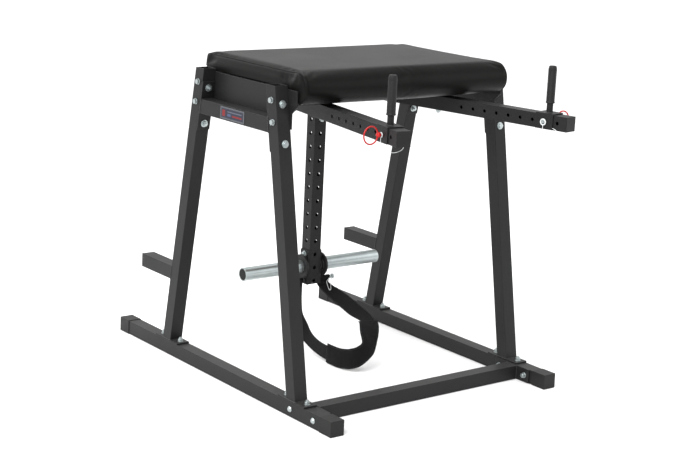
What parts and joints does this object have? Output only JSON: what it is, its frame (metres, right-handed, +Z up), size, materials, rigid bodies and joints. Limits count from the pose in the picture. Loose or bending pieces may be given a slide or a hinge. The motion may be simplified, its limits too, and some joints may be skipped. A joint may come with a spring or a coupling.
{
  "type": "reverse hyperextension bench",
  "caption": "Padded bench on splayed legs with a hanging weighted pendulum, an ankle strap and pinned hand posts that slide along arms.",
  "frame": {"origin": "on the floor, under the middle of the bench's overall length and width", "axes": "+X to the bench's right, +Y towards the storage stubs and the pendulum's back swing, -Y towards the hand posts, +Z up"},
  "size_m": [1.0188, 1.473, 1.1695],
  "materials": {
    "charcoal_steel": "satin fine-texture powder coat",
    "zinc": "bright zinc plate",
    "black_plastic": "moulded matt",
    "soft_grip": "soft ribbed",
    "vinyl": "grained vinyl, semi-gloss",
    "plywood": "raw",
    "bronze": "machined",
    "red_plastic": "gloss",
    "webbing": "woven",
    "cuff_fabric": "padded knit",
    "white_cord": "coated cord",
    "label": "printed film"
  },
  "bodies": {
    "frame": {"left_rail": "charcoal_steel", "right_rail": "charcoal_steel", "rail_end_caps": "black_plastic", "base_cross_tube": "charcoal_steel", "cross_tube_flanges": "charcoal_steel", "base_cross_bolts": "zinc", "front_left_leg": "charcoal_steel", "front_right_leg": "charcoal_steel", "rear_left_leg": "charcoal_steel", "rear_right_leg": "charcoal_steel", "foot_plates": "charcoal_steel", "leg_base_bolts": "zinc", "storage_stubs": "charcoal_steel", "stub_end_caps": "black_plastic", "left_side_tube": "charcoal_steel", "right_side_tube": "charcoal_steel", "side_tube_flanges": "charcoal_steel", "side_tube_bolts": "zinc", "id_plate": "label", "left_side_plate": "charcoal_steel", "right_side_plate": "charcoal_steel", "side_plate_bolts": "zinc", "front_cross_member": "charcoal_steel", "rear_cross_member": "charcoal_steel", "left_arm": "charcoal_steel", "right_arm": "charcoal_steel", "arm_end_caps": "black_plastic", "arm_bolts": "zinc", "pad_mount_bars": "charcoal_steel", "pad_board": "plywood", "pad": "vinyl", "left_axle_block": "charcoal_steel", "right_axle_block": "charcoal_steel", "axle": "zinc", "axle_collars": "zinc"},
    "pendulum": {"pendulum_upright": "charcoal_steel", "hub_bushings": "bronze", "upright_plug": "black_plastic"},
    "weight_carriage_body": {"weight_carriage": "charcoal_steel", "left_horn": "zinc", "right_horn": "zinc", "horn_plugs": "black_plastic", "carriage_bolt": "zinc", "strap_webbing": "webbing", "ankle_cuff": "cuff_fabric"},
    "strap_pin_body": {"strap_pin": "zinc", "strap_pin_loop": "white_cord"},
    "left_post": {"left_hand_post": "charcoal_steel", "left_grip": "soft_grip", "left_lanyard": "white_cord", "left_lanyard_eye": "white_cord"},
    "left_pin": {"left_lock_pin": "zinc", "left_pin_ring": "red_plastic"},
    "right_post": {"right_hand_post": "charcoal_steel", "right_grip": "soft_grip", "right_lanyard": "white_cord", "right_lanyard_eye": "white_cord"},
    "right_pin": {"right_lock_pin": "zinc", "right_pin_ring": "red_plastic"}
  },
  "joints": [
    {"name": "pendulum_swing", "type": "hinge", "parent": "frame", "child": "pendulum", "pos_m": [0, 0.2015, 1.01], "axis": [1, 0, 0], "range_deg": [-50, 80]},
    {"name": "carriage_height", "type": "slide", "parent": "pendulum", "child": "weight_carriage_body", "axis": [0, 0, 1], "range_m": [0, 0.3048]},
    {"name": "strap_pin_pull", "type": "slide", "parent": "weight_carriage_body", "child": "strap_pin_body", "axis": [1, 0, 0], "range_m": [0, 0.2]},
    {"name": "left_post_slide", "type": "slide", "parent": "frame", "child": "left_post", "axis": [-0.1822, -0.9833, 0], "range_m": [-0.254, 0.0508]},
    {"name": "left_pin_pull", "type": "slide", "parent": "left_post", "child": "left_pin", "axis": [-0.9833, 0.1822, 0], "range_m": [0, 0.07]},
    {"name": "right_post_slide", "type": "slide", "parent": "frame", "child": "right_post", "axis": [0.1822, -0.9833, 0], "range_m": [-0.254, 0.0508]},
    {"name": "right_pin_pull", "type": "slide", "parent": "right_post", "child": "right_pin", "axis": [0.9833, 0.1822, 0], "range_m": [0, 0.07]}
  ]
}
